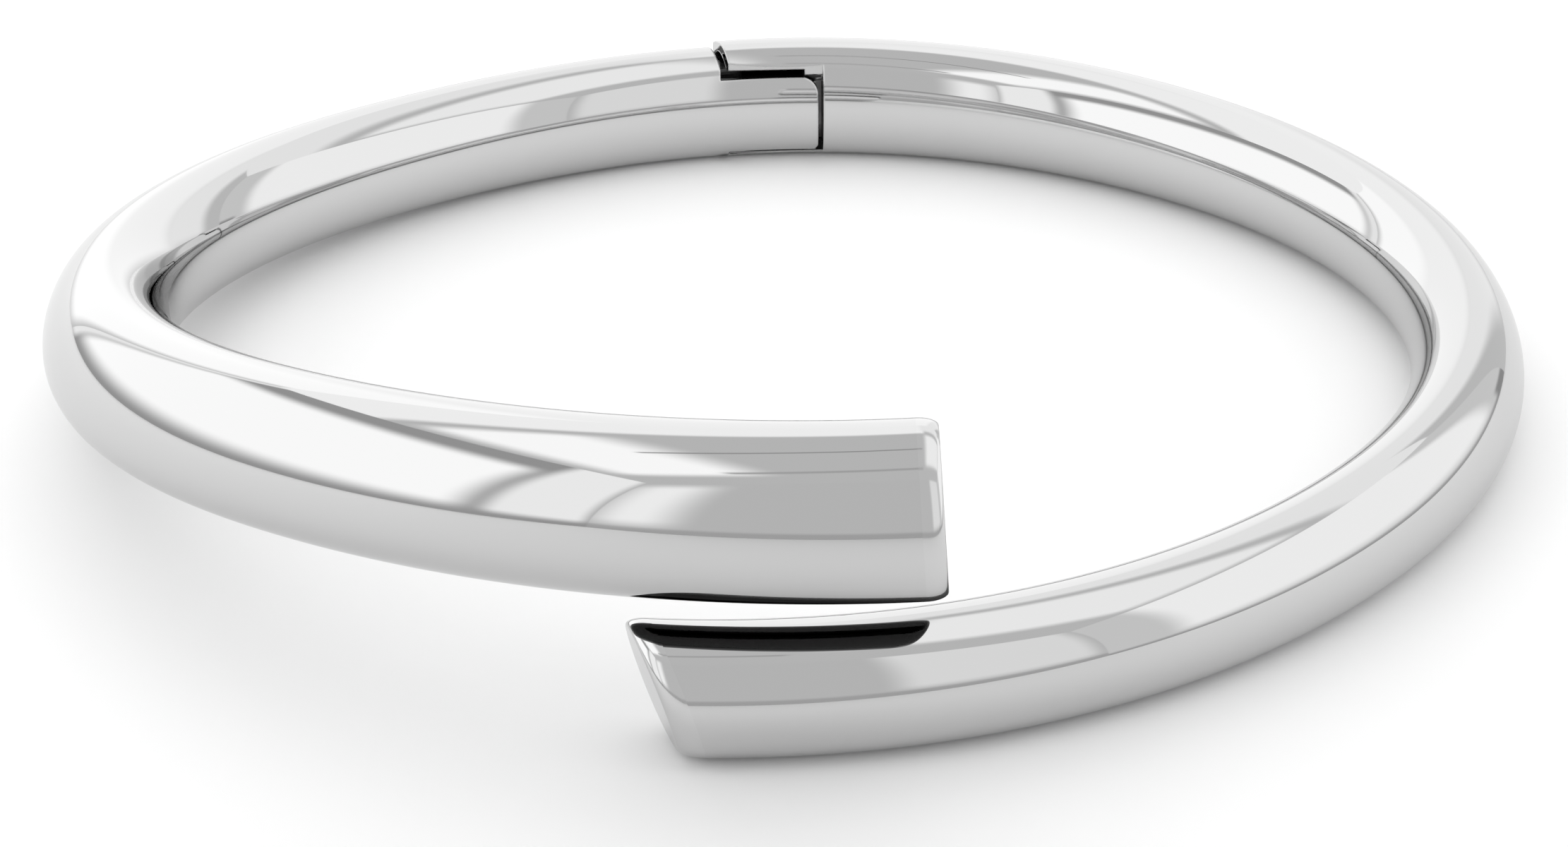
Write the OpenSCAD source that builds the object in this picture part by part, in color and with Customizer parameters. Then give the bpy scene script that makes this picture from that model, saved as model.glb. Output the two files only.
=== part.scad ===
// Hinged crossover bangle: two tapered hollow arms that share one hinge at the back.
// The upper arm rises from the hinge and its free end passes over the lower arm's free end.
// Rests on z = 0. The hinge is at +Y, the free ends are at -Y, the upper arm is at -X.

/* [Ring] */
// Outside width of the closed bangle, across the two arms
ring_w = 66.5; // [60:0.5:72]
// Wall thickness of both tubes
wall = 0.5; // [0.4:0.05:0.55]
// How far the tubes' widest line lies below mid-height, as a share of half the height
belly = 0.18; // [0.1:0.02:0.2]

/* [Upper arm] */
// Height of the tube beside the hinge
upper_root_h = 5.7; // [5.4:0.1:6]
// Height of the tube at the free end
upper_end_h = 7.5; // [6.5:0.1:8]
// How far the underside stands off the table at the front
upper_rise = 7.7; // [6.8:0.1:9]

/* [Lower arm] */
// Height of the tube beside the hinge
lower_root_h = 6; // [5.7:0.1:6.3]
// Height of the tube at the free end
lower_end_h = 5.8; // [5:0.1:6]

/* [End caps] */
// Thickness of the plate that closes each free end
cap_t = 0.9; // [0.7:0.1:1.2]
// Length of the spigot that locates the plate in the tube
spigot_t = 0.8; // [0.5:0.1:1.5]

/* [Hinge] */
// Diameter of the hinge pin
pin_d = 0.7; // [0.6:0.05:0.75]
// Running clearance around the pin, on the radius
pin_clear = 0.05; // [0.02:0.01:0.08]
// Outside diameter of the hinge knuckles
knuckle_d = 1.3; // [1.25:0.05:1.35]
// Height of the middle knuckle
knuckle_h = 1.7; // [1.5:0.1:1.8]

/* [Spring] */
// Diameter of the plunger's head, which presses on the middle knuckle
head_d = 1; // [0.9:0.05:1.1]
// Diameter of the spring wire
wire_d = 0.2; // [0.16:0.02:0.22]
// Number of turns
turns = 7; // [5:1:8]

/* [Hidden] */

// Plan of the ring: distance of the centreline from the ring's middle, every 45 degrees.
// The table runs from 270 degrees round the upper arm's side to 270 degrees round the lower's.
plan_w = 66.5;
plan = [43, 37.3, 31.6, 30.4, 32.9, 25.2, 24.1, 25.7, 31, 29.2, 31.2, 34.5, 38];
plan_r = [for (r = plan) r + (ring_w - plan_w) / 2];
// Share of the upper arm's rise, at the same angles
rise_share = [1.4, 1.2, 1, 0.76, 0.17, 0, 0, 0, 0, 0, 0, 0, 0];
// Moves the ring's middle so that the outside box is centred on the origin
ring_x = 1;
ring_y = 4.8;

// Section: width over height at the hinge, at the free end, and what is added at the sides
slim_root = 0.62;
slim_end = 0.85;
slim_side = 0.18;
// The tubes are a little lower at the sides than an even taper
waist = 0.22;

// Angles where the free ends are, from the hinge
upper_end_deg = 186.6;
lower_end_deg = 194.2;
// The lower arm's end is cut on a slant: lean of the cut outward and upward
lower_cut_out = 0.4;
lower_cut_up = -0.31;
spigot_gap = 0.1;
// How far the rounded edge of the plate comes in from the skin
cap_round = 0.36;
ring_step = 4;
sides = 32;

// Hinge plan, measured from the middle of the tube at the hinge: x along it, y outward.
// The upper arm's inner wall runs on as a tongue; the lower arm laps round its outside.
tongue_x = 1.85;
tongue_y = -1.2;
lap_y = -1.2;
lap_step_x = 1.2;
shoulder_x = 2.1;
lap_tip = [-3.25, 0.5];
lap_foot_x = -2.55;
lap_heel_x = -2.75;
lap_gap = 0.45;
lap_foot_gap = 0.4;
pocket_x = -3;
pocket_y = -0.5;
pocket_z = [0.5, 4.9];
// The slot beyond it: how far along it starts, how deep it goes and its top
slots = [[1.2, -1.1, 4.6], [1.75, 0.2, 4.25]];
tongue_z = [0.6, 4.5];
tongue_corner = 0.8;
far = 12;

// Hinge pin, its knuckles and the spring behind them
hinge_y = smooth(plan_r, 0);
pin_at = [-2.5, 0.1];
pin_z = 2.9;
ear_h = 0.9;
ear_gap = 0.1;
ear_root = [-3.9, -0.8, -0.1];
rivet_h = 0.2;
fit_gap = 0.02;
block_end_deg = 17;
upper_block_deg = 19;
// The plunger runs along the upper arm, to the outer side of the pin
plunger_deg = 195;
plunger_off = 0.35;
cam_flat = 0.5;
cam_nose = 0.7;
head_rest = 0.05;
head_t = 0.55;
stem_d = 0.6;
stem_l = 2.4;
tunnel_d = 1.3;
spring_r = 0.5;
spring_from = 1.12;
spring_to = 4.2;
stop_t = 0.8;
coil_steps = 16;
wire_sides = 8;
round_fn = 48;

function at(table, u, i) =
    ((1 - u) ^ 3 * table[i - 1] + (3 * u ^ 3 - 6 * u ^ 2 + 4) * table[i]
    + (3 * u * (1 + u - u ^ 2) + 1) * table[i + 1] + u ^ 3 * table[i + 2]) / 6;
// Smooth curve through a table of values 45 degrees apart
function smooth(table, deg) =
    let (t = (deg + 270) / 45, i = floor(t)) at(table, t - i, i);

function share(deg) = (1 - cos(min(abs(deg), 180))) / 2;
function side_bulge(deg) = abs(deg) < 180 ? sin(deg) ^ 2 : 0;
function root_h(upper) = upper ? upper_root_h : lower_root_h;
function end_h(upper) = upper ? upper_end_h : lower_end_h;
function half_h(deg, upper) =
    (root_h(upper) + (end_h(upper) - root_h(upper)) * share(deg)) / 2
    - waist * side_bulge(deg);
function half_t(deg, upper) = half_h(deg, upper)
    * (slim_root + (slim_end - slim_root) * share(deg) + slim_side * side_bulge(deg));
function rise(deg) = upper_rise * smooth(rise_share, deg);
function centre(deg, upper) = [
    ring_x + smooth(plan_r, deg) * sin(deg),
    ring_y + smooth(plan_r, deg) * cos(deg),
    half_h(deg, upper) + (upper ? rise(deg) : 0)];

function unit(v) = v / norm(v);
// Direction along the arm toward its free end, outward from the ring, and up
function along(deg, upper) =
    let (d = upper ? -0.5 : 0.5) unit(centre(deg + d, upper) - centre(deg - d, upper));
function outward(deg, upper) =
    let (t = along(deg, upper)) unit(upper ? [t[1], -t[0], 0] : [-t[1], t[0], 0]);
function upward(deg, upper) = upper
    ? cross(outward(deg, upper), along(deg, upper))
    : cross(along(deg, upper), outward(deg, upper));

// One point of the section: a is the angle round it, inset shrinks it from the skin
function rim(deg, upper, a, inset) = centre(deg, upper)
    + outward(deg, upper) * (half_t(deg, upper) - inset) * cos(a)
    + upward(deg, upper) * ((half_h(deg, upper) - inset) * sin(a)
        - belly * half_h(deg, upper) * cos(a) ^ 2);
function section(deg, upper, inset) =
    [for (k = [0:sides - 1]) rim(deg, upper, 360 * k / sides, inset)];

// Plane that cuts the free end: its normal and a point on it, back from the tip
function cut_normal(upper) = let (deg = upper ? -upper_end_deg : lower_end_deg)
    upper ? along(deg, upper)
    : unit(along(deg, upper) + outward(deg, upper) * lower_cut_out
        + upward(deg, upper) * lower_cut_up);
function end_section(upper, inset, back) =
    let (deg = upper ? -upper_end_deg : lower_end_deg,
        n = cut_normal(upper),
        t = along(deg, upper),
        p0 = centre(deg, upper) - n * back)
    [for (p = section(deg, upper, inset)) p + t * ((p0 - p) * n) / (t * n)];

// Closed solid through a list of rings, each with the same number of points
module loft(rings, flip) {
    n = len(rings);
    m = len(rings[0]);
    points = [for (r = rings) each r];
    walls = [for (i = [0:n - 2], k = [0:m - 1])
        let (a = i * m + k, b = i * m + (k + 1) % m) each [[a, b, b + m], [a, b + m, a + m]]];
    ends = [[for (k = [m - 1:-1:0]) k], [for (k = [0:m - 1]) (n - 1) * m + k]];
    faces = concat(walls, ends);
    polyhedron(points, flip ? faces : [for (f = faces) [for (k = [len(f) - 1:-1:0]) f[k]]]);
}

// Closed tube wall: outer rings, then inner rings, joined at both ends
module tube_wall(outer, inner, flip) {
    loop = concat(outer, [for (i = [len(inner) - 1:-1:0]) inner[i]]);
    n = len(loop);
    m = len(loop[0]);
    points = [for (r = loop) each r];
    faces = [for (i = [0:n - 1], k = [0:m - 1])
        let (a = i * m + k, b = i * m + (k + 1) % m, c = (i + 1) % n * m + k,
            d = (i + 1) % n * m + (k + 1) % m)
        each [[a, b, d], [a, d, c]]];
    polyhedron(points, flip ? faces : [for (f = faces) [f[2], f[1], f[0]]]);
}

// Rings of one arm, from its hinge end to the plane that its cap closes
function arm_rings(upper, inset) =
    let (first = upper ? 6 : -8, last = upper ? -182 : 188, step = upper ? -ring_step : ring_step)
    concat([for (deg = [first:step:last]) section(deg, upper, inset)],
        [end_section(upper, inset, cap_t)]);

module arm_tube(upper) tube_wall(arm_rings(upper, 0), arm_rings(upper, wall), upper);

// Everything drawn in the hinge's plan sits on the middle of the tube at the hinge
module at_hinge() translate([ring_x, ring_y + hinge_y, 0]) children();

// Space of the lower arm at the hinge, cut out of the upper arm
module lap_space() at_hinge() translate([0, 0, -far]) linear_extrude(3 * far) polygon([
    [tongue_x, -far], [tongue_x, tongue_y], [lap_foot_x - lap_foot_gap, tongue_y],
    [lap_tip[0] - lap_gap, lap_tip[1]], [lap_tip[0] - lap_gap, far], [far, far], [far, -far]]);

// Space of the upper arm at the hinge, cut out of the lower arm
module tongue_space() at_hinge() translate([0, 0, -far]) linear_extrude(3 * far) polygon([
    [shoulder_x, lap_y], [lap_foot_x, lap_y], lap_tip, [lap_heel_x, 1.8], [lap_heel_x, far], [-far, far],
    [-far, -far], [shoulder_x, -far]]);

// Hollow in the lap behind the tongue, open between two lips
module lap_pocket() at_hinge() translate([pocket_x, lap_y - 1, pocket_z[0]])
    cube([lap_step_x - pocket_x, pocket_y - lap_y + 1, pocket_z[1] - pocket_z[0]]);

// Clearance behind the tongue's end, and the deep slot between it and the shoulder
module end_slot() at_hinge() for (s = slots) translate([s[0], -far, pocket_z[0]])
    cube([shoulder_x - s[0], far + s[1], s[2] - pocket_z[0]]);

// Corner outside a round of radius r, seen along y; turn is the corner's direction
module tongue_round(x, z, r, up) translate([x - r, 0, z - up * r]) rotate([90, 0, 0])
    linear_extrude(far, center = true) difference() {
        translate([0, up > 0 ? 0 : -2 * r]) square(2 * r);
        circle(r, $fn = round_fn);
    }

module tongue_trim() at_hinge() translate([0, -4, 0]) {
    tongue_round(tongue_x, tongue_z[1], tongue_corner, 1);
    tongue_round(tongue_x, tongue_z[0], tongue_corner / 2, -1);
    translate([lap_foot_x, -far / 2, -far]) cube([far, far, far + tongue_z[0]]);
    translate([lap_foot_x - lap_foot_gap, -far / 2, tongue_z[1]]) cube(far);
}

module upper_arm_shell() color("silver") difference() {
    arm_tube(true);
    lap_space();
    tongue_trim();
}

module lower_arm_shell() color("silver") difference() {
    arm_tube(false);
    tongue_space();
    lap_pocket();
    end_slot();
}

// Plate that closes a free end, with a softened edge and a spigot inside the tube
module end_cap(upper) {
    edge = [for (k = [0:4]) [cap_round * (1 - cos(k * 22.5)), cap_t * (1 - sin(k * 22.5))]];
    spigot = wall + spigot_gap;
    loft(concat([end_section(upper, spigot, cap_t + spigot_t), end_section(upper, spigot, cap_t)],
        [for (p = edge) end_section(upper, p[0], p[1])]), upper);
}

module upper_end_cap() color("gainsboro") end_cap(true);
module lower_end_cap() color("gainsboro") end_cap(false);

// Solid insert that fills the tube's hollow next to the hinge
module insert(upper, from, to) {
    step = (to - from) / 5;
    loft([for (k = [0:5]) section(from + k * step, upper, wall + fit_gap)], upper);
}

module pin_axis(z) at_hinge() translate([pin_at[0], pin_at[1], z]) children();

// Frame of the plunger: x away from the pin into the upper arm, on the plunger's line
module plunger_line(s) pin_axis(pin_z) rotate(plunger_deg) translate([s, -plunger_off, 0])
    rotate([0, 90, 0]) children();

module ear(z) {
    hull() {
        pin_axis(z) cylinder(d = knuckle_d, h = ear_h, $fn = 32);
        at_hinge() translate([ear_root[0], ear_root[1], z])
            cube([0.1, ear_root[2] - ear_root[1], ear_h]);
    }
}

module upper_hinge_block() color("darkgray") difference() {
    union() {
        difference() {
            insert(true, -6, -upper_block_deg);
            at_hinge() translate([ear_root[0], -far, 0]) cube([far, 2 * far, far]);
        }
        ear(pin_z + knuckle_h / 2 + ear_gap);
        ear(pin_z - knuckle_h / 2 - ear_gap - ear_h);
    }
    pin_axis(0) cylinder(d = pin_d, h = far, $fn = round_fn);
    plunger_line(0.6) cylinder(d = tunnel_d, h = far, $fn = round_fn);
}

// Middle knuckle with the flat that the plunger presses, on the insert of the lower arm
module lower_hinge_block() color("darkgray") difference() {
    union() {
        difference() {
            insert(false, 1, block_end_deg);
            at_hinge() translate([lap_step_x - far, -far, 0]) cube([far, 2 * far, far]);
            tongue_space();
        }
        pin_axis(pin_z - knuckle_h / 2) cylinder(d = knuckle_d, h = knuckle_h, $fn = round_fn);
        at_hinge() translate([pin_at[0], pin_at[1] - knuckle_d / 2, pin_z - knuckle_h / 2])
            cube([lap_step_x - pin_at[0] + 1, knuckle_d, knuckle_h]);
        pin_axis(pin_z - knuckle_h / 2) rotate(plunger_deg) translate([-cam_flat, -cam_nose, 0])
            cube([2 * cam_flat, cam_nose, knuckle_h]);
    }
    pin_axis(0) cylinder(r = pin_d / 2 + pin_clear, h = far, $fn = round_fn);
    pin_axis(0) rotate(plunger_deg) translate([cam_flat, -1, 0]) cube([2, 2, far]);
    end_slot();
}

module hinge_pin() color("dimgray") {
    half = knuckle_h / 2 + ear_gap + ear_h;
    pin_axis(pin_z - half) cylinder(d = pin_d, h = 2 * half, $fn = round_fn);
    for (z = [-half - rivet_h, half])
        pin_axis(pin_z + z) cylinder(d = pin_d + 0.3, h = rivet_h, $fn = round_fn);
}

module spring_plunger() color("gray") {
    plunger_line(cam_flat + head_rest) cylinder(d = head_d, h = head_t, $fn = round_fn);
    plunger_line(cam_flat + head_rest + head_t) cylinder(d = stem_d, h = stem_l, $fn = round_fn);
}

// Ring of points across the wire, at step k along the coil
function wire_ring(k) =
    let (a = 360 * k / coil_steps, length = spring_to - spring_from - wire_d,
        z = wire_d / 2 + length * k / coil_steps / turns)
    [for (j = [0:wire_sides - 1])
        let (w = 360 * j / wire_sides, r = spring_r + wire_d / 2 * cos(w))
        [r * cos(a), r * sin(a), z + wire_d / 2 * sin(w)]];

module plunger_spring() color("slategray") plunger_line(spring_from)
    loft([for (k = [0:turns * coil_steps]) wire_ring(k)], true);

module spring_stop() color("gray")
    plunger_line(spring_to) cylinder(d = tunnel_d - 2 * fit_gap, h = stop_t, $fn = round_fn);

upper_arm_shell();
lower_arm_shell();
upper_end_cap();
lower_end_cap();
upper_hinge_block();
lower_hinge_block();
hinge_pin();
spring_plunger();
plunger_spring();
spring_stop();
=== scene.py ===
import math

import bpy
import numpy as np
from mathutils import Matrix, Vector


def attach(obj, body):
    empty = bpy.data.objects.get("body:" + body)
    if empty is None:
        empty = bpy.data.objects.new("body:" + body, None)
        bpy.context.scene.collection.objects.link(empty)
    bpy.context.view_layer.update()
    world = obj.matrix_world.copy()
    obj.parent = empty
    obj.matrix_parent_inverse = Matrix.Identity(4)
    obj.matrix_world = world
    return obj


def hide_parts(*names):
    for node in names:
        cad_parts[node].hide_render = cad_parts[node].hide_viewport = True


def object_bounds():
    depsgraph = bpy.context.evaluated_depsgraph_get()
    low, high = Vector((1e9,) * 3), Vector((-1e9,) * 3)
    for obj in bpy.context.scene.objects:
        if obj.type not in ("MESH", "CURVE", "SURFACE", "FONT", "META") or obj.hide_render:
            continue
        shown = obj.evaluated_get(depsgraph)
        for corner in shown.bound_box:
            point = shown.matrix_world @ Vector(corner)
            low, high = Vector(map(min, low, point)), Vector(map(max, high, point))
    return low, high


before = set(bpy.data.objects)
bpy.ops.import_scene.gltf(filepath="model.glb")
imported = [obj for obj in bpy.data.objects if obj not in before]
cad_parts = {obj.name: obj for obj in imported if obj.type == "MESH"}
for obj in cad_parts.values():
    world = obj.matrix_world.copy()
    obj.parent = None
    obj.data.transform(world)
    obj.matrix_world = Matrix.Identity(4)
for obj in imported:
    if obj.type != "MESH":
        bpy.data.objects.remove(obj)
cad_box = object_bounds()

# One millimetre of the design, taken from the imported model's width. Lengths below are in these
# millimetres unless they say metres, and places along an arm are in degrees from the hinge.
DESIGN_WIDTH = 66.514
MM = (cad_box[1][0] - cad_box[0][0]) / DESIGN_WIDTH

# ---------------------------------------------------------------- shape of the arms
# Control values of the centre line's radius and rise, every 45 degrees from -270 to 270.
TABLE_START = -270
TABLE_STEP = 45
PLAN = np.array([43, 37.3, 31.6, 30.4, 32.9, 25.2, 24.1, 25.7, 31, 29.2, 31.2, 34.5, 38])
UPPER_RISE = 7.7
RISE = UPPER_RISE * np.array([1.4, 1.2, 1, 0.76, 0.17, 0, 0, 0, 0, 0, 0, 0, 0])
RING = (1.0, 4.8)

# The section: width over height at the hinge, what the free end and the sides add to it, how much
# half the height loses at the sides, and how far the widest line sinks.
SLIM_ROOT, SLIM_END_MORE, SLIM_SIDE_MORE = 0.62, 0.23, 0.18
WAIST = 0.22
BELLY = 0.18
WALL = 0.5

# Each arm: its heights at the hinge and at the free end, its side of the ring, its first ring, the
# cut at its free end with its lean out and up, and how far before it the even rings stop.
UPPER = {"root": 5.7, "end": 7.5, "side": -1, "start": -6,
         "tip": 186.6, "lean": (0, 0), "closing": 3}
LOWER = {"root": 6.0, "end": 5.8, "side": 1, "start": -8,
         "tip": 194.2, "lean": (0.4, -0.31), "closing": 6}
AROUND = 128
TURN = np.linspace(0, 2 * np.pi, AROUND, endpoint=False)
STEP = 1.0

# Small steps for slopes: along the centre line, along the skin (degrees) and round it (radians).
LINE_NUDGE, SKIN_NUDGE, TURN_NUDGE = 0.05, 0.02, 0.002
CUT_REACH = 12.0
HALVINGS = 40


def unit(v):
    return v / np.linalg.norm(v, axis=-1, keepdims=True)


def spline(table, deg):
    """Uniform cubic B-spline with one control value every 45 degrees."""
    t = (np.asarray(deg, float) - TABLE_START) / TABLE_STEP
    i = np.floor(t).astype(int)
    u = t - i
    return (
        (1 - u) ** 3 * table[i - 1]
        + (3 * u**3 - 6 * u**2 + 4) * table[i]
        + (3 * u * (1 + u - u * u) + 1) * table[i + 1]
        + u**3 * table[i + 2]
    ) / 6


def half_size(arm, deg):
    """Half the height and half the width of the tube."""
    share = (1 - np.cos(np.radians(np.minimum(abs(deg), 180)))) / 2
    bulge = np.where(abs(deg) < 180, np.sin(np.radians(deg)) ** 2, 0)
    h = (arm["root"] + (arm["end"] - arm["root"]) * share) / 2 - WAIST * bulge
    return h, h * (SLIM_ROOT + SLIM_END_MORE * share + SLIM_SIDE_MORE * bulge)


def centre(arm, deg):
    deg = arm["side"] * np.asarray(deg, float)
    r = spline(PLAN, deg)
    z = half_size(arm, deg)[0]
    if arm is UPPER:
        z = z + spline(RISE, deg)
    turn = np.radians(deg)
    return np.stack([RING[0] + r * np.sin(turn), RING[1] + r * np.cos(turn), z], -1)


def directions(arm, deg):
    """Along the arm toward its free end, outward from the ring, and up."""
    along = unit(centre(arm, deg + LINE_NUDGE) - centre(arm, deg - LINE_NUDGE))
    flat = arm["side"] * np.stack([-along[..., 1], along[..., 0], 0 * along[..., 0]], -1)
    out = unit(flat)
    return along, out, arm["side"] * np.cross(along, out)


def skin(arm, deg, angle, inset=0.0):
    """Point of the tube at that many degrees from the hinge and that angle round the section."""
    _, out, up = directions(arm, deg)
    h, t = half_size(arm, deg)
    side = ((t - inset) * np.cos(angle))[..., None]
    rise = ((h - inset) * np.sin(angle) - BELLY * h * np.cos(angle) ** 2)[..., None]
    return centre(arm, deg) + out * side + up * rise


def skin_normal(arm, deg, angle):
    """Outward normal of the skin, worked out from the shape itself."""
    d = skin(arm, deg + SKIN_NUDGE, angle) - skin(arm, deg - SKIN_NUDGE, angle)
    a = skin(arm, deg, angle + TURN_NUDGE) - skin(arm, deg, angle - TURN_NUDGE)
    n = unit(np.cross(d, a))
    away = skin(arm, deg, angle) - centre(arm, deg)
    return n * np.sign((n * away).sum(-1, keepdims=True))


def cut_plane(arm, back):
    """Normal and point of the plane that cuts the free end, that far back from the tip."""
    along, out, up = directions(arm, np.array(arm["tip"]))
    n = unit(along + out * arm["lean"][0] + up * arm["lean"][1])
    return n, centre(arm, np.array(arm["tip"])) - n * back


def ring_on_plane(arm, inset, back):
    """Degrees at which each line along the tube meets that plane, found by halving."""
    n, p0 = cut_plane(arm, back)
    low = np.full(AROUND, arm["tip"] - CUT_REACH)
    high = np.full(AROUND, arm["tip"] + CUT_REACH)
    for _ in range(HALVINGS):
        mid = (low + high) / 2
        beyond = (skin(arm, mid, TURN, inset) - p0) @ n > 0
        high = np.where(beyond, mid, high)
        low = np.where(beyond, low, mid)
    return (low + high) / 2


# ---------------------------------------------------------------- tubes and end plates
CAP_T = 0.9
CAP_ROUND = 0.36
CAP_STEPS = 12
CAP_FACE_RINGS = (0.94, 0.7, 0.35)
SPIGOT_T = 0.8
SPIGOT_GAP = 0.1
SHARP_DEG = 30


def mesh_object(name, verts, faces, smooth=True):
    mesh = bpy.data.meshes.new(name)
    mesh.from_pydata([tuple(v) for v in np.asarray(verts) * MM], [], faces)
    mesh.validate()
    mesh.update()
    mesh.polygons.foreach_set("use_smooth", [smooth] * len(mesh.polygons))
    obj = bpy.data.objects.new(name, mesh)
    bpy.context.scene.collection.objects.link(obj)
    return obj


def grid_faces(rings, closed, flip):
    """Quads between rings of AROUND points."""
    faces = []
    for i in range(rings if closed else rings - 1):
        j = (i + 1) % rings
        for k in range(AROUND):
            m = (k + 1) % AROUND
            quad = [i * AROUND + k, i * AROUND + m, j * AROUND + m, j * AROUND + k]
            faces.append(quad if flip else quad[::-1])
    return faces


def arm_rings(arm, inset):
    last = arm["tip"] - arm["closing"]
    rings = [skin(arm, np.full(AROUND, d), TURN, inset)
             for d in np.arange(arm["start"], last + STEP / 100, STEP)]
    end = ring_on_plane(arm, inset, CAP_T)
    for share in (0.25, 0.5, 0.75, 1.0):
        rings.append(skin(arm, last + (end - last) * share, TURN, inset))
    return rings


def arm_shell(name, arm):
    rings = arm_rings(arm, 0.0) + arm_rings(arm, WALL)[::-1]
    return mesh_object(name, np.concatenate(rings), grid_faces(len(rings), True, arm is LOWER))


def end_cap(name, arm):
    """Plate with a rounded edge and a spigot behind it."""
    def ring(inset, back):
        return skin(arm, ring_on_plane(arm, inset, back), TURN, inset)

    spigot = WALL + SPIGOT_GAP
    rings = [ring(spigot, CAP_T + SPIGOT_T), ring(spigot, CAP_T)]
    for k in range(CAP_STEPS + 1):
        turn = math.radians(k * 90 / CAP_STEPS)
        rings.append(ring(CAP_ROUND * (1 - math.cos(turn)), CAP_T * (1 - math.sin(turn))))
    edge = rings[-1]
    middle = edge.mean(0)
    for share in CAP_FACE_RINGS:
        rings.append(middle + (edge - middle) * share)
    verts = np.concatenate(rings + [middle[None], rings[0].mean(0)[None]])
    flip = arm is LOWER
    faces = grid_faces(len(rings), False, flip)
    tip, root = len(verts) - 2, len(verts) - 1
    last = (len(rings) - 1) * AROUND
    for k in range(AROUND):
        m = (k + 1) % AROUND
        faces.append([last + k, last + m, tip] if flip else [last + m, last + k, tip])
        faces.append([m, k, root] if flip else [k, m, root])
    obj = mesh_object(name, verts, faces)
    mark_sharp_edges(obj.data)
    return obj


def mark_sharp_edges(mesh):
    normals = [p.normal.copy() for p in mesh.polygons]
    at_edge = {}
    for p in mesh.polygons:
        for key in p.edge_keys:
            at_edge.setdefault(key, []).append(p.index)
    limit = math.cos(math.radians(SHARP_DEG))
    for e in mesh.edges:
        near = at_edge.get(tuple(sorted(e.vertices)), [])
        e.use_edge_sharp = len(near) == 2 and normals[near[0]].dot(normals[near[1]]) < limit


# ---------------------------------------------------------------- cuts at the hinge
# Places from the hinge's middle in x and y, and from the floor in z, as in the CAD.
HINGE = np.array([RING[0], RING[1] + float(spline(PLAN, 0.0))])
FAR = 12.0
SPLIT_Y = -1.2
TONGUE_X = 1.85
TONGUE_Z = (0.6, 4.5)
TONGUE_ROUND = (0.4, 0.8)
TONGUE_TRIM_Y = -0.9
SHOULDER_X = 2.1
LAP_TIP = (-3.25, 0.5)
LAP_FOOT_X, LAP_STOP_X = -2.55, -2.95
LAP_HEEL = (-2.75, 1.8)
LAP_OUTER_X = -3.7
LAP_STEP_X = 1.2
POCKET_X, POCKET_Y, POCKET_Z = -3.0, (-2.2, -0.5), (0.5, 4.9)
SHELF_Y, SHELF_TOP = -1.1, 4.6
SLOT_X, SLOT_Y, SLOT_TOP = 1.75, 0.2, 4.25
CORNER_STEPS = 10
CORNER_REACH = 3

# What each arm leaves free for the other.
LAP_SPACE = [(TONGUE_X, -FAR), (TONGUE_X, SPLIT_Y), (LAP_STOP_X, SPLIT_Y),
             (LAP_OUTER_X, LAP_TIP[1]), (LAP_OUTER_X, FAR), (FAR, FAR), (FAR, -FAR)]
TONGUE_SPACE = [(SHOULDER_X, SPLIT_Y), (LAP_FOOT_X, SPLIT_Y), LAP_TIP, LAP_HEEL,
                (LAP_HEEL[0], FAR), (-FAR, FAR), (-FAR, -FAR), (SHOULDER_X, -FAR)]


def prism(points, low, high, lying=False):
    """Closed prism; lying prisms are drawn in x and z and run along y."""
    n = len(points)
    if lying:
        verts = [(HINGE[0] + x, HINGE[1] + y, z) for y in (low, high) for x, z in points]
    else:
        verts = [(HINGE[0] + x, HINGE[1] + y, z) for z in (low, high) for x, y in points]
    faces = [list(range(n))[::-1], list(range(n, 2 * n))]
    faces += [[k, (k + 1) % n, n + (k + 1) % n, n + k] for k in range(n)]
    obj = mesh_object("cutter", verts, faces, smooth=False)
    following = points[1:] + points[:1]
    area = sum(ax * by - bx * ay for (ax, ay), (bx, by) in zip(points, following))
    if (area < 0) != lying:
        obj.data.flip_normals()
    return obj


def rectangle(x0, x1, y0, y1):
    return [(x0, y0), (x1, y0), (x1, y1), (x0, y1)]


def round_corner(x, z, r, up):
    """Outline of what is cut off a corner of the tongue to round it."""
    turns = [math.radians(k * 90 / CORNER_STEPS) for k in range(CORNER_STEPS + 1)]
    arc = [(x - r + r * math.cos(s), z - up * r + up * r * math.sin(s)) for s in turns]
    beyond = x + CORNER_REACH
    return arc + [(x - r, z + up * CORNER_REACH), (beyond, z + up * CORNER_REACH),
                  (beyond, z - up * r)]


def cut(obj, cutters):
    for c in cutters:
        mod = obj.modifiers.new("cut", "BOOLEAN")
        mod.operation = "DIFFERENCE"
        mod.solver = "EXACT"
        mod.object = c
    evaluated = obj.evaluated_get(bpy.context.evaluated_depsgraph_get())
    shape = bpy.data.meshes.new_from_object(evaluated)
    obj.modifiers.clear()
    old = obj.data
    obj.data = shape
    bpy.data.meshes.remove(old)
    for c in cutters:
        bpy.data.meshes.remove(c.data)


# ---------------------------------------------------------------- finish of each face
PLAIN_SKIN, HINGE_SKIN, CUT_FACE = 0, 1, 2
HINGE_SKIN_DEG = 14
LAP_END_X = HINGE[0] - 2.4
LAP_END_FACING = -0.6
BEHIND_HINGE_DEG = -40
MM_PER_DEG = 0.55
SETTLE_ROUNDS = 8
DEG_LIMITS = (-20, 3)
ON_SKIN = 0.02
ALIGNED = 0.9


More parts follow.
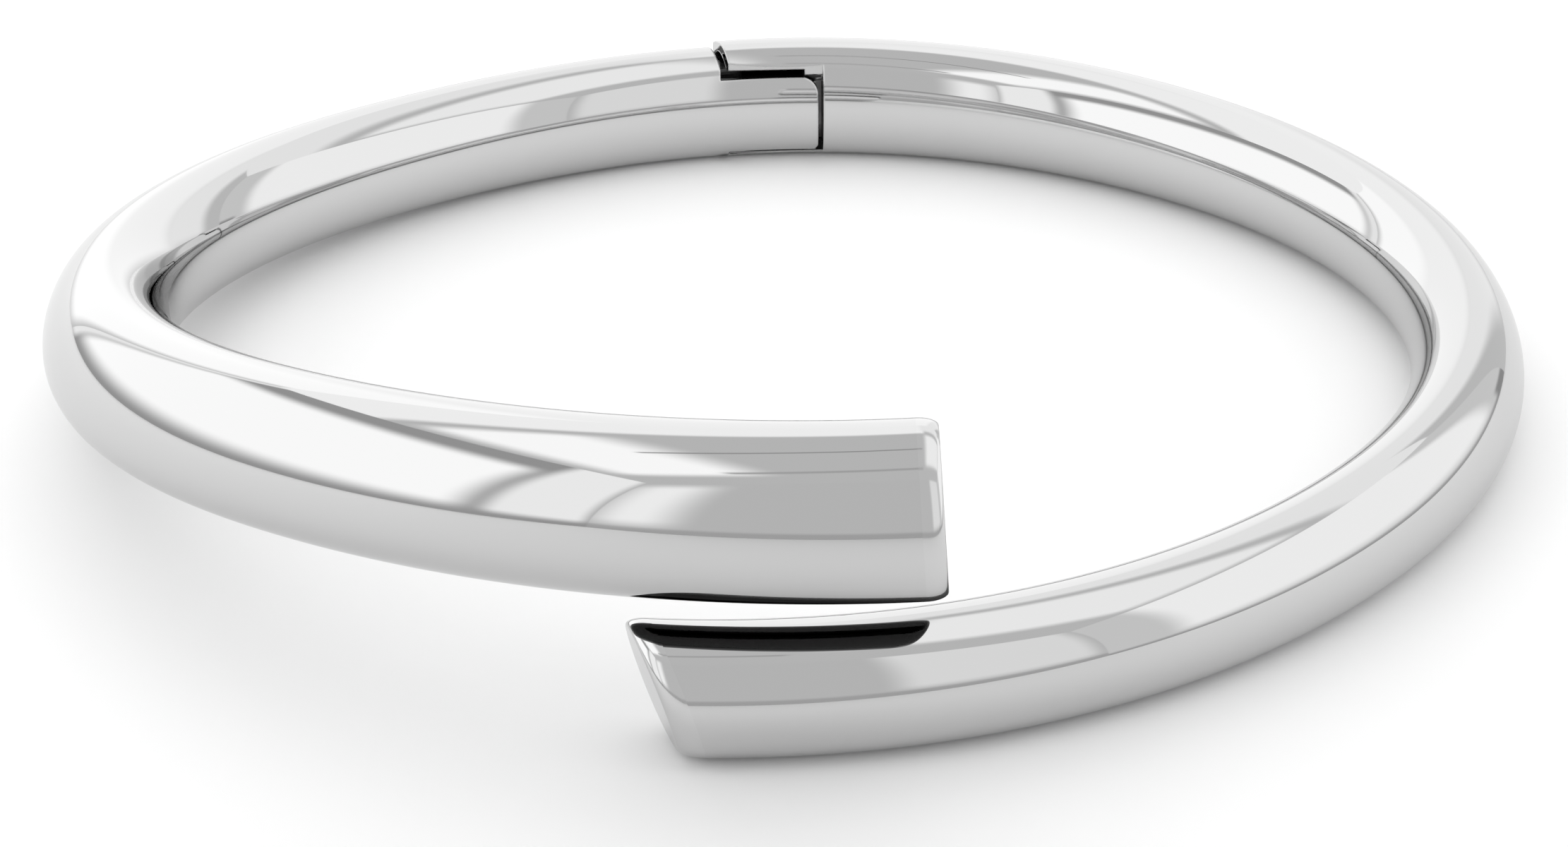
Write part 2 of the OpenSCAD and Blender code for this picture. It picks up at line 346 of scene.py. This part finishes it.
def place_on_arm(arm, points):
    """Degrees from the hinge and angle round the section for points of the tube."""
    side = arm["side"]
    deg = side * np.degrees(np.arctan2(points[:, 0] - RING[0], points[:, 1] - RING[1]))
    deg = np.where(deg < BEHIND_HINGE_DEG, deg + 360, deg)
    for _ in range(SETTLE_ROUNDS):
        along = directions(arm, deg)[0]
        off = ((points - centre(arm, deg)) * along).sum(-1)
        deg = np.clip(deg + off / MM_PER_DEG, DEG_LIMITS[0], arm["tip"] + DEG_LIMITS[1])
    _, out, up = directions(arm, deg)
    q = points - centre(arm, deg)
    h, t = half_size(arm, deg)
    c = (q * out).sum(-1) / t
    z = (q * up).sum(-1) / h
    s = (-1 + np.sqrt(np.maximum(1 + 4 * BELLY * (BELLY + z), 0))) / (2 * BELLY)
    return deg, np.arctan2(s, c)


def finish_skin(obj, arm):
    """Gives the skin the shape's own normals after the cuts, and every face its finish; cut faces
    get painted shade.
    """
    mesh = obj.data
    points = np.empty(len(mesh.vertices) * 3)
    mesh.vertices.foreach_get("co", points)
    points = points.reshape(-1, 3) / MM
    deg, angle = place_on_arm(arm, points)
    on_skin = np.linalg.norm(skin(arm, deg, angle) - points, axis=1) < ON_SKIN
    normal = skin_normal(arm, deg, angle)
    loops = []
    for p in mesh.polygons:
        flat = np.array(p.normal)
        fit = [on_skin[v] and normal[v] @ flat > ALIGNED for v in p.vertices]
        own = tuple(flat) if flat @ flat > 0 else (0, 0, 1)
        loops += [tuple(normal[v]) if fits else own for v, fits in zip(p.vertices, fit)]
        at_hinge = min(abs(deg[v]) for v in p.vertices) < HINGE_SKIN_DEG
        lap_end = (arm is LOWER and p.center.x / MM < LAP_END_X
                   and p.normal.x < LAP_END_FACING)
        if all(fit) and not at_hinge:
            p.material_index = PLAIN_SKIN
        else:
            p.material_index = HINGE_SKIN if all(fit) or lap_end else CUT_FACE
    mesh.normals_split_custom_set(loops)


# ---------------------------------------------------------------- materials
EDGE_RADIUS = 0.14 * MM
# Painted dark reflection: metal mirrored in metal close by is painted dark in the colour glossy
# rays see, as if black cards stood in the gap between the arms: this grey up to the first
# distance, and the metal's own from the second.
PAINTED_REFLECTION_GREY = 0.03
PAINTED_REFLECTION_REACH = (4 * MM, 22 * MM)
# Scale of the buffing haze, of the slow waves and of the paper's grain, per metre.
HAZE_SCALE, WAVE_SCALE, GRAIN_SCALE = 220, 90, 300
WAVE_METRES = 0.0005
TOOL_MARKS = (400, 400, 9000)
MARK_METRES = 0.00002
MARK_STRENGTH = 0.15
SKIN_GREY, CAP_GREY, BLOCK_GREY, PIN_GREY = 0.66, 0.68, 0.3, 0.5
WIRE_COLOUR = (0.34, 0.34, 0.35)
# Painted shade: the cut and inside faces are near black, and turn to this grey where the painted
# shade is lifted.
CUT_PAINTED_SHADE, CUT_SHADE_LIFTED_GREY = 0.03, 0.6
# The painted shade on the cut faces in front of this y gives way to the grey between these
# heights.
SHADE_LIFT_FRONT = HINGE[1] - 1.15
SHADE_LIFT_FROM, SHADE_LIFT_FULL = 4.2, 4.3
SHADE_LIFT_BLEND = 0.02
# How far a rounded edge's normal agrees with its face, from the painted shade fully lifted to not
# at all.
EDGE_TURNED = (0.93, 0.995)


def grey(value):
    return value, value, value


def new_material(name, base, metallic, roughness):
    mat = bpy.data.materials.new(name)
    mat.use_nodes = True
    nodes = mat.node_tree.nodes
    bsdf = nodes["Principled BSDF"]
    bsdf.inputs["Base Color"].default_value = (*base, 1)
    bsdf.inputs["Metallic"].default_value = metallic
    bsdf.inputs["Roughness"].default_value = roughness
    return mat, nodes, mat.node_tree.links, bsdf


def node(nodes, kind, **values):
    n = nodes.new(kind)
    for key, value in values.items():
        if hasattr(n, key):
            setattr(n, key, value)
        else:
            n.inputs[key].default_value = value
    return n


def position(nodes):
    return nodes.new("ShaderNodeTexCoord").outputs["Object"]


def noise(nodes, links, where, scale, detail):
    n = node(nodes, "ShaderNodeTexNoise", Scale=scale, Detail=detail)
    links.new(where, n.inputs["Vector"])
    return n.outputs["Fac"]


def ranged(nodes, links, source, low, high, lo, hi, smooth=False):
    """Maps low..high to lo..hi; each of the four may be a number or another node's output."""
    n = nodes.new("ShaderNodeMapRange")
    n.interpolation_type = "SMOOTHSTEP" if smooth else "LINEAR"
    for key, value in zip(("From Min", "From Max", "To Min", "To Max"), (low, high, lo, hi)):
        if isinstance(value, bpy.types.NodeSocket):
            links.new(value, n.inputs[key])
        else:
            n.inputs[key].default_value = value
    links.new(source, n.inputs["Value"])
    return n.outputs["Result"]


def product(nodes, links, one, other):
    n = node(nodes, "ShaderNodeMath", operation="MULTIPLY")
    links.new(one, n.inputs[0])
    links.new(other, n.inputs[1])
    return n.outputs[0]


def by_ray(nodes, links, ray, plain, other, socket):
    """One grey for most rays and another for that kind of ray."""
    mix = nodes.new("ShaderNodeMix")
    mix.data_type = "RGBA"
    mix.inputs["A"].default_value = (*grey(plain), 1)
    if isinstance(other, float):
        mix.inputs["B"].default_value = (*grey(other), 1)
    else:
        links.new(other, mix.inputs["B"])
    links.new(nodes.new("ShaderNodeLightPath").outputs[ray], mix.inputs["Factor"])
    links.new(mix.outputs["Result"], socket)


def polished_steel(name, base, rough, wave, soft_edges=False):
    """Mirror-polished steel with faint buffing marks, slight unevenness and painted dark
    reflections.
    """
    mat, nodes, links, bsdf = new_material(name, grey(base), 1.0, rough)
    # Painted dark reflection: glossy rays that come from metal close by see a darker colour.
    length = nodes.new("ShaderNodeLightPath").outputs["Ray Length"]
    near = ranged(nodes, links, length, *PAINTED_REFLECTION_REACH, PAINTED_REFLECTION_GREY, base)
    by_ray(nodes, links, "Is Glossy Ray", base, near, bsdf.inputs["Base Color"])
    where = position(nodes)
    haze = noise(nodes, links, where, HAZE_SCALE, 3)
    links.new(ranged(nodes, links, haze, 0.35, 0.7, rough * 0.6, rough * 1.6),
              bsdf.inputs["Roughness"])
    bump = node(nodes, "ShaderNodeBump", Strength=wave, Distance=WAVE_METRES)
    links.new(noise(nodes, links, where, WAVE_SCALE, 1), bump.inputs["Height"])
    if soft_edges:
        edge = node(nodes, "ShaderNodeBevel", Radius=EDGE_RADIUS, samples=6)
        links.new(edge.outputs["Normal"], bump.inputs["Normal"])
    links.new(bump.outputs["Normal"], bsdf.inputs["Normal"])
    return mat


def machined_steel(name, base, rough, grain):
    """Machined steel with fine tool marks."""
    mat, nodes, links, bsdf = new_material(name, base, 1.0, rough)
    stretch = nodes.new("ShaderNodeMapping")
    stretch.inputs["Scale"].default_value = TOOL_MARKS
    links.new(position(nodes), stretch.inputs["Vector"])
    marks = noise(nodes, links, stretch.outputs["Vector"], grain, 4)
    links.new(ranged(nodes, links, marks, 0.3, 0.7, rough * 0.7, rough * 1.4),
              bsdf.inputs["Roughness"])
    bump = node(nodes, "ShaderNodeBump", Strength=MARK_STRENGTH, Distance=MARK_METRES)
    links.new(marks, bump.inputs["Height"])
    links.new(bump.outputs["Normal"], bsdf.inputs["Normal"])
    return mat


def painted_shade_cut_steel(name, dark, bright):
    """Painted shade on cut and inside faces, polished grey at rounded edges and the lap's top."""
    mat, nodes, links, bsdf = new_material(name, grey(dark), 1.0, 0.3)
    where = position(nodes)
    place = nodes.new("ShaderNodeSeparateXYZ")
    links.new(where, place.inputs["Vector"])
    high = ranged(nodes, links, place.outputs["Z"], SHADE_LIFT_FROM * MM, SHADE_LIFT_FULL * MM, 0, 1)
    top = ranged(nodes, links, place.outputs["Y"], (SHADE_LIFT_FRONT - SHADE_LIFT_BLEND) * MM,
                 (SHADE_LIFT_FRONT + SHADE_LIFT_BLEND) * MM, high, 0)
    edge = node(nodes, "ShaderNodeBevel", Radius=EDGE_RADIUS, samples=8)
    turned = node(nodes, "ShaderNodeVectorMath", operation="DOT_PRODUCT")
    links.new(edge.outputs["Normal"], turned.inputs[0])
    links.new(nodes.new("ShaderNodeNewGeometry").outputs["True Normal"], turned.inputs[1])
    rim = ranged(nodes, links, turned.outputs["Value"], *EDGE_TURNED, 1, top)
    # Painted shade, lifted to grey along the rounded edges and at the top by the lap.
    links.new(ranged(nodes, links, rim, 0, 1, dark, bright), bsdf.inputs["Base Color"])
    haze = noise(nodes, links, where, HAZE_SCALE, 3)
    links.new(ranged(nodes, links, haze, 0.3, 0.7, 0.2, 0.3), bsdf.inputs["Roughness"])
    links.new(edge.outputs["Normal"], bsdf.inputs["Normal"])
    return mat


tube_steel = polished_steel("polished_steel", SKIN_GREY, 0.03, 0.02)
edge_steel = polished_steel("polished_steel_edge", SKIN_GREY, 0.03, 0.02, True)
cut_steel_painted_shade = painted_shade_cut_steel("cut_steel_painted_shade", CUT_PAINTED_SHADE, CUT_SHADE_LIFTED_GREY)
cap_steel = polished_steel("cap_steel", CAP_GREY, 0.06, 0.02)
block_steel = machined_steel("hinge_steel", grey(BLOCK_GREY), 0.35, 1.0)
pin_steel = machined_steel("pin_steel", grey(PIN_GREY), 0.22, 1.5)
wire_steel = machined_steel("spring_steel", WIRE_COLOUR, 0.3, 2.0)

# ---------------------------------------------------------------- the bangle's pieces
bottom, top = TONGUE_Z
upper = arm_shell("upper_arm_skin", UPPER)
cut(upper, [
    prism(LAP_SPACE, -FAR, 2 * FAR),
    prism(round_corner(TONGUE_X, top, TONGUE_ROUND[1], 1), -FAR, 0, lying=True),
    prism(round_corner(TONGUE_X, bottom, TONGUE_ROUND[0], -1), -FAR, 0, lying=True),
    prism(rectangle(LAP_FOOT_X, FAR, -FAR, bottom), -FAR, TONGUE_TRIM_Y, lying=True),
    prism(rectangle(LAP_STOP_X, FAR, top, FAR), -FAR, TONGUE_TRIM_Y, lying=True)])
finish_skin(upper, UPPER)
lower = arm_shell("lower_arm_skin", LOWER)
floor_z = POCKET_Z[0]
cut(lower, [
    prism(TONGUE_SPACE, -FAR, 2 * FAR),
    prism(rectangle(POCKET_X, LAP_STEP_X, *POCKET_Y), *POCKET_Z),
    prism(rectangle(LAP_STEP_X, SHOULDER_X, -FAR, SHELF_Y), floor_z, SHELF_TOP),
    prism(rectangle(SLOT_X, SHOULDER_X, -FAR, SLOT_Y), floor_z, SLOT_TOP)])
finish_skin(lower, LOWER)
upper_cap = end_cap("upper_cap_plate", UPPER)
lower_cap = end_cap("lower_cap_plate", LOWER)

tube_finish = (tube_steel, edge_steel, cut_steel_painted_shade)
for obj, cad, body, slot, mats in (
        (upper, "upper_arm_shell", "upper_arm", "polished_steel", tube_finish),
        (lower, "lower_arm_shell", "lower_arm", "polished_steel", tube_finish),
        (upper_cap, "upper_end_cap", "upper_arm", "cap_steel", (cap_steel,)),
        (lower_cap, "lower_end_cap", "lower_arm", "cap_steel", (cap_steel,))):
    kept = [p.material_index for p in obj.data.polygons]
    obj.data.materials.clear()
    for mat in mats:
        obj.data.materials.append(mat)
    obj.data.polygons.foreach_set("material_index", kept)
    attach(obj, body)
    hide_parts(cad)

for name, mat in (("upper_hinge_block", block_steel), ("lower_hinge_block", block_steel),
                  ("hinge_pin", pin_steel), ("spring_plunger", pin_steel),
                  ("spring_stop", pin_steel), ("plunger_spring", wire_steel)):
    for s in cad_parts[name].material_slots:
        s.material = mat

# ---------------------------------------------------------------- floor
FLOOR_REACH = 900
# The paper is paler for the camera than for its light on the metal.
PAPER, PAPER_SEEN = 0.85, 1.0
QUAD = [[0, 1, 2, 3]]


def paper():
    mat, nodes, links, bsdf = new_material("floor_paper", grey(PAPER), 0.0, 0.6)
    by_ray(nodes, links, "Is Camera Ray", PAPER, PAPER_SEEN, bsdf.inputs["Base Color"])
    grain = noise(nodes, links, position(nodes), GRAIN_SCALE, 2)
    links.new(ranged(nodes, links, grain, 0, 1, 0.55, 0.65), bsdf.inputs["Roughness"])
    bsdf.inputs["Specular IOR Level"].default_value = 0.2
    return mat


edges = (-FLOOR_REACH, FLOOR_REACH, -FLOOR_REACH, FLOOR_REACH)
floor = mesh_object("floor", [(x, y, 0) for x, y in rectangle(*edges)], QUAD, smooth=False)
floor.data.materials.append(paper())

# ---------------------------------------------------------------- light tent
X0, X1, Y0, Y1, Z1 = -109, 141, -140, 105, 115
# The tent lights the paper by this share more than its mirror image shows.
DIFFUSE_LIFT = 0.13
# Each wall: its corners, the two axes of its patches, its plain glow, and its patches, each as
# from and to on the first axis, from and to on the second, softness of the edge, and glow.
# Numbers past the wall's own edge leave that side of the patch open.
WALLS = {
    "tent_back": (
        [(X0, Y1, 0), (X1, Y1, 0), (X1, Y1, Z1), (X0, Y1, Z1)], "XZ", 0.7,
        [(-104, -25, 2, 200, 8, 1.42), (-35, 48, 2, 200, 10, 1.28), (40, 103, 3, 200, 12, 1.13)]),
    "tent_left": (
        [(X0, Y0, 0), (X0, Y1, 0), (X0, Y1, Z1), (X0, Y0, Z1)], "YZ", 0.42,
        [(-138, -93, 9, 200, 6, 1.22), (-84, 92, 10, 92, 9, 1.42), (95, 110, 0, 200, 5, 1.15)]),
    "tent_right": (
        [(X1, Y0, 0), (X1, Y1, 0), (X1, Y1, Z1), (X1, Y0, Z1)], "YZ", 0.8,
        [(-200, 200, -20, 5, 3, 0.45), (-98, 70, 9, 200, 9, 1.25), (84, 120, 0, 14, 4, 0.35)]),
    "tent_front": (
        [(X0, Y0, 0), (X1, Y0, 0), (X1, Y0, Z1), (X0, Y0, Z1)], "XZ", 0.67,
        [(-200, 200, -20, 9, 3, 0.5), (-107, -78, 14, 105, 12, 1.25),
         (46, 134, 12, 200, 8, 1.0)]),
    "tent_roof": (
        [(X0, Y0, Z1), (X1, Y0, Z1), (X1, Y1, Z1), (X0, Y1, Z1)], "XY", 0.68,
        [(-200, 20, 22, 200, 7, 1.27), (10, 200, 36, 200, 12, 1.13),
         (-100, -52, -108, 6, 9, 1.4), (22, 132, -92, 12, 10, 1.2),
         (-60, 10, -44, -41, 1.5, 0.36), (-60, 10, -104, -98, 2.5, 0.5)]),
}


def patch_mask(nodes, links, u, v, patch):
    """1 inside the patch and 0 outside, with soft edges."""
    u0, u1, v0, v1, soft, _ = patch
    mask = None
    for source, at, rising in ((u, u0, 1), (u, u1, 0), (v, v0, 1), (v, v1, 0)):
        step = ranged(nodes, links, source, (at - soft) * MM, (at + soft) * MM,
                      1 - rising, rising, smooth=True)
        mask = product(nodes, links, mask, step) if mask else step
    return mask


def glow_material(name, axes, plain, patches):
    """Glow that changes smoothly from patch to patch over a wall."""
    mat = bpy.data.materials.new(name)
    mat.use_nodes = True
    nodes, links = mat.node_tree.nodes, mat.node_tree.links
    nodes.clear()
    split = nodes.new("ShaderNodeSeparateXYZ")
    links.new(position(nodes), split.inputs["Vector"])
    u, v = split.outputs[axes[0]], split.outputs[axes[1]]
    value = None
    for patch in patches:
        mix = nodes.new("ShaderNodeMix")
        mix.inputs["B"].default_value = patch[-1]
        links.new(patch_mask(nodes, links, u, v, patch), mix.inputs["Factor"])
        if value:
            links.new(value, mix.inputs["A"])
        else:
            mix.inputs["A"].default_value = plain
        value = mix.outputs["Result"]
    lift = node(nodes, "ShaderNodeMath", operation="MULTIPLY_ADD")
    links.new(nodes.new("ShaderNodeLightPath").outputs["Is Diffuse Ray"], lift.inputs[0])
    lift.inputs[1].default_value = DIFFUSE_LIFT
    lift.inputs[2].default_value = 1
    glow = nodes.new("ShaderNodeEmission")
    links.new(product(nodes, links, value, lift.outputs[0]), glow.inputs["Strength"])
    links.new(glow.outputs["Emission"], nodes.new("ShaderNodeOutputMaterial").inputs["Surface"])
    return mat


for name, (corners, axes, plain, patches) in WALLS.items():
    wall = mesh_object(name, corners, QUAD, smooth=False)
    wall.data.materials.append(glow_material(name, axes, plain, patches))
    wall.visible_camera = False

world = bpy.data.worlds.new("room")
world.use_nodes = True
world.node_tree.nodes["Background"].inputs["Color"].default_value = (1, 1, 1, 1)
world.node_tree.nodes["Background"].inputs["Strength"].default_value = 1.0
bpy.context.scene.world = world
bpy.context.scene.view_settings.view_transform = "Standard"

# ---------------------------------------------------------------- camera
CAMERA_PLACE = (-10.55, -215.63, 117.37)
CAMERA_TURN_DEG, CAMERA_TILT_DEG = 3, 28
LENS, SENSOR = 125.27, 36
SHIFT = (-0.0135, -0.0275)
CLIP_START_METRES = 0.01

cam_data = bpy.data.cameras.new("camera")
cam_data.sensor_width = SENSOR
cam_data.lens = LENS
cam_data.shift_x, cam_data.shift_y = SHIFT
cam_data.clip_start = CLIP_START_METRES
camera = bpy.data.objects.new("camera", cam_data)
bpy.context.scene.collection.objects.link(camera)
camera.location = Vector(CAMERA_PLACE) * MM
turn, tilt = math.radians(CAMERA_TURN_DEG), math.radians(CAMERA_TILT_DEG)
look = Vector((math.sin(turn) * math.cos(tilt), math.cos(turn) * math.cos(tilt), -math.sin(tilt)))
camera.rotation_euler = look.to_track_quat("-Z", "Y").to_euler()
bpy.context.scene.camera = camera
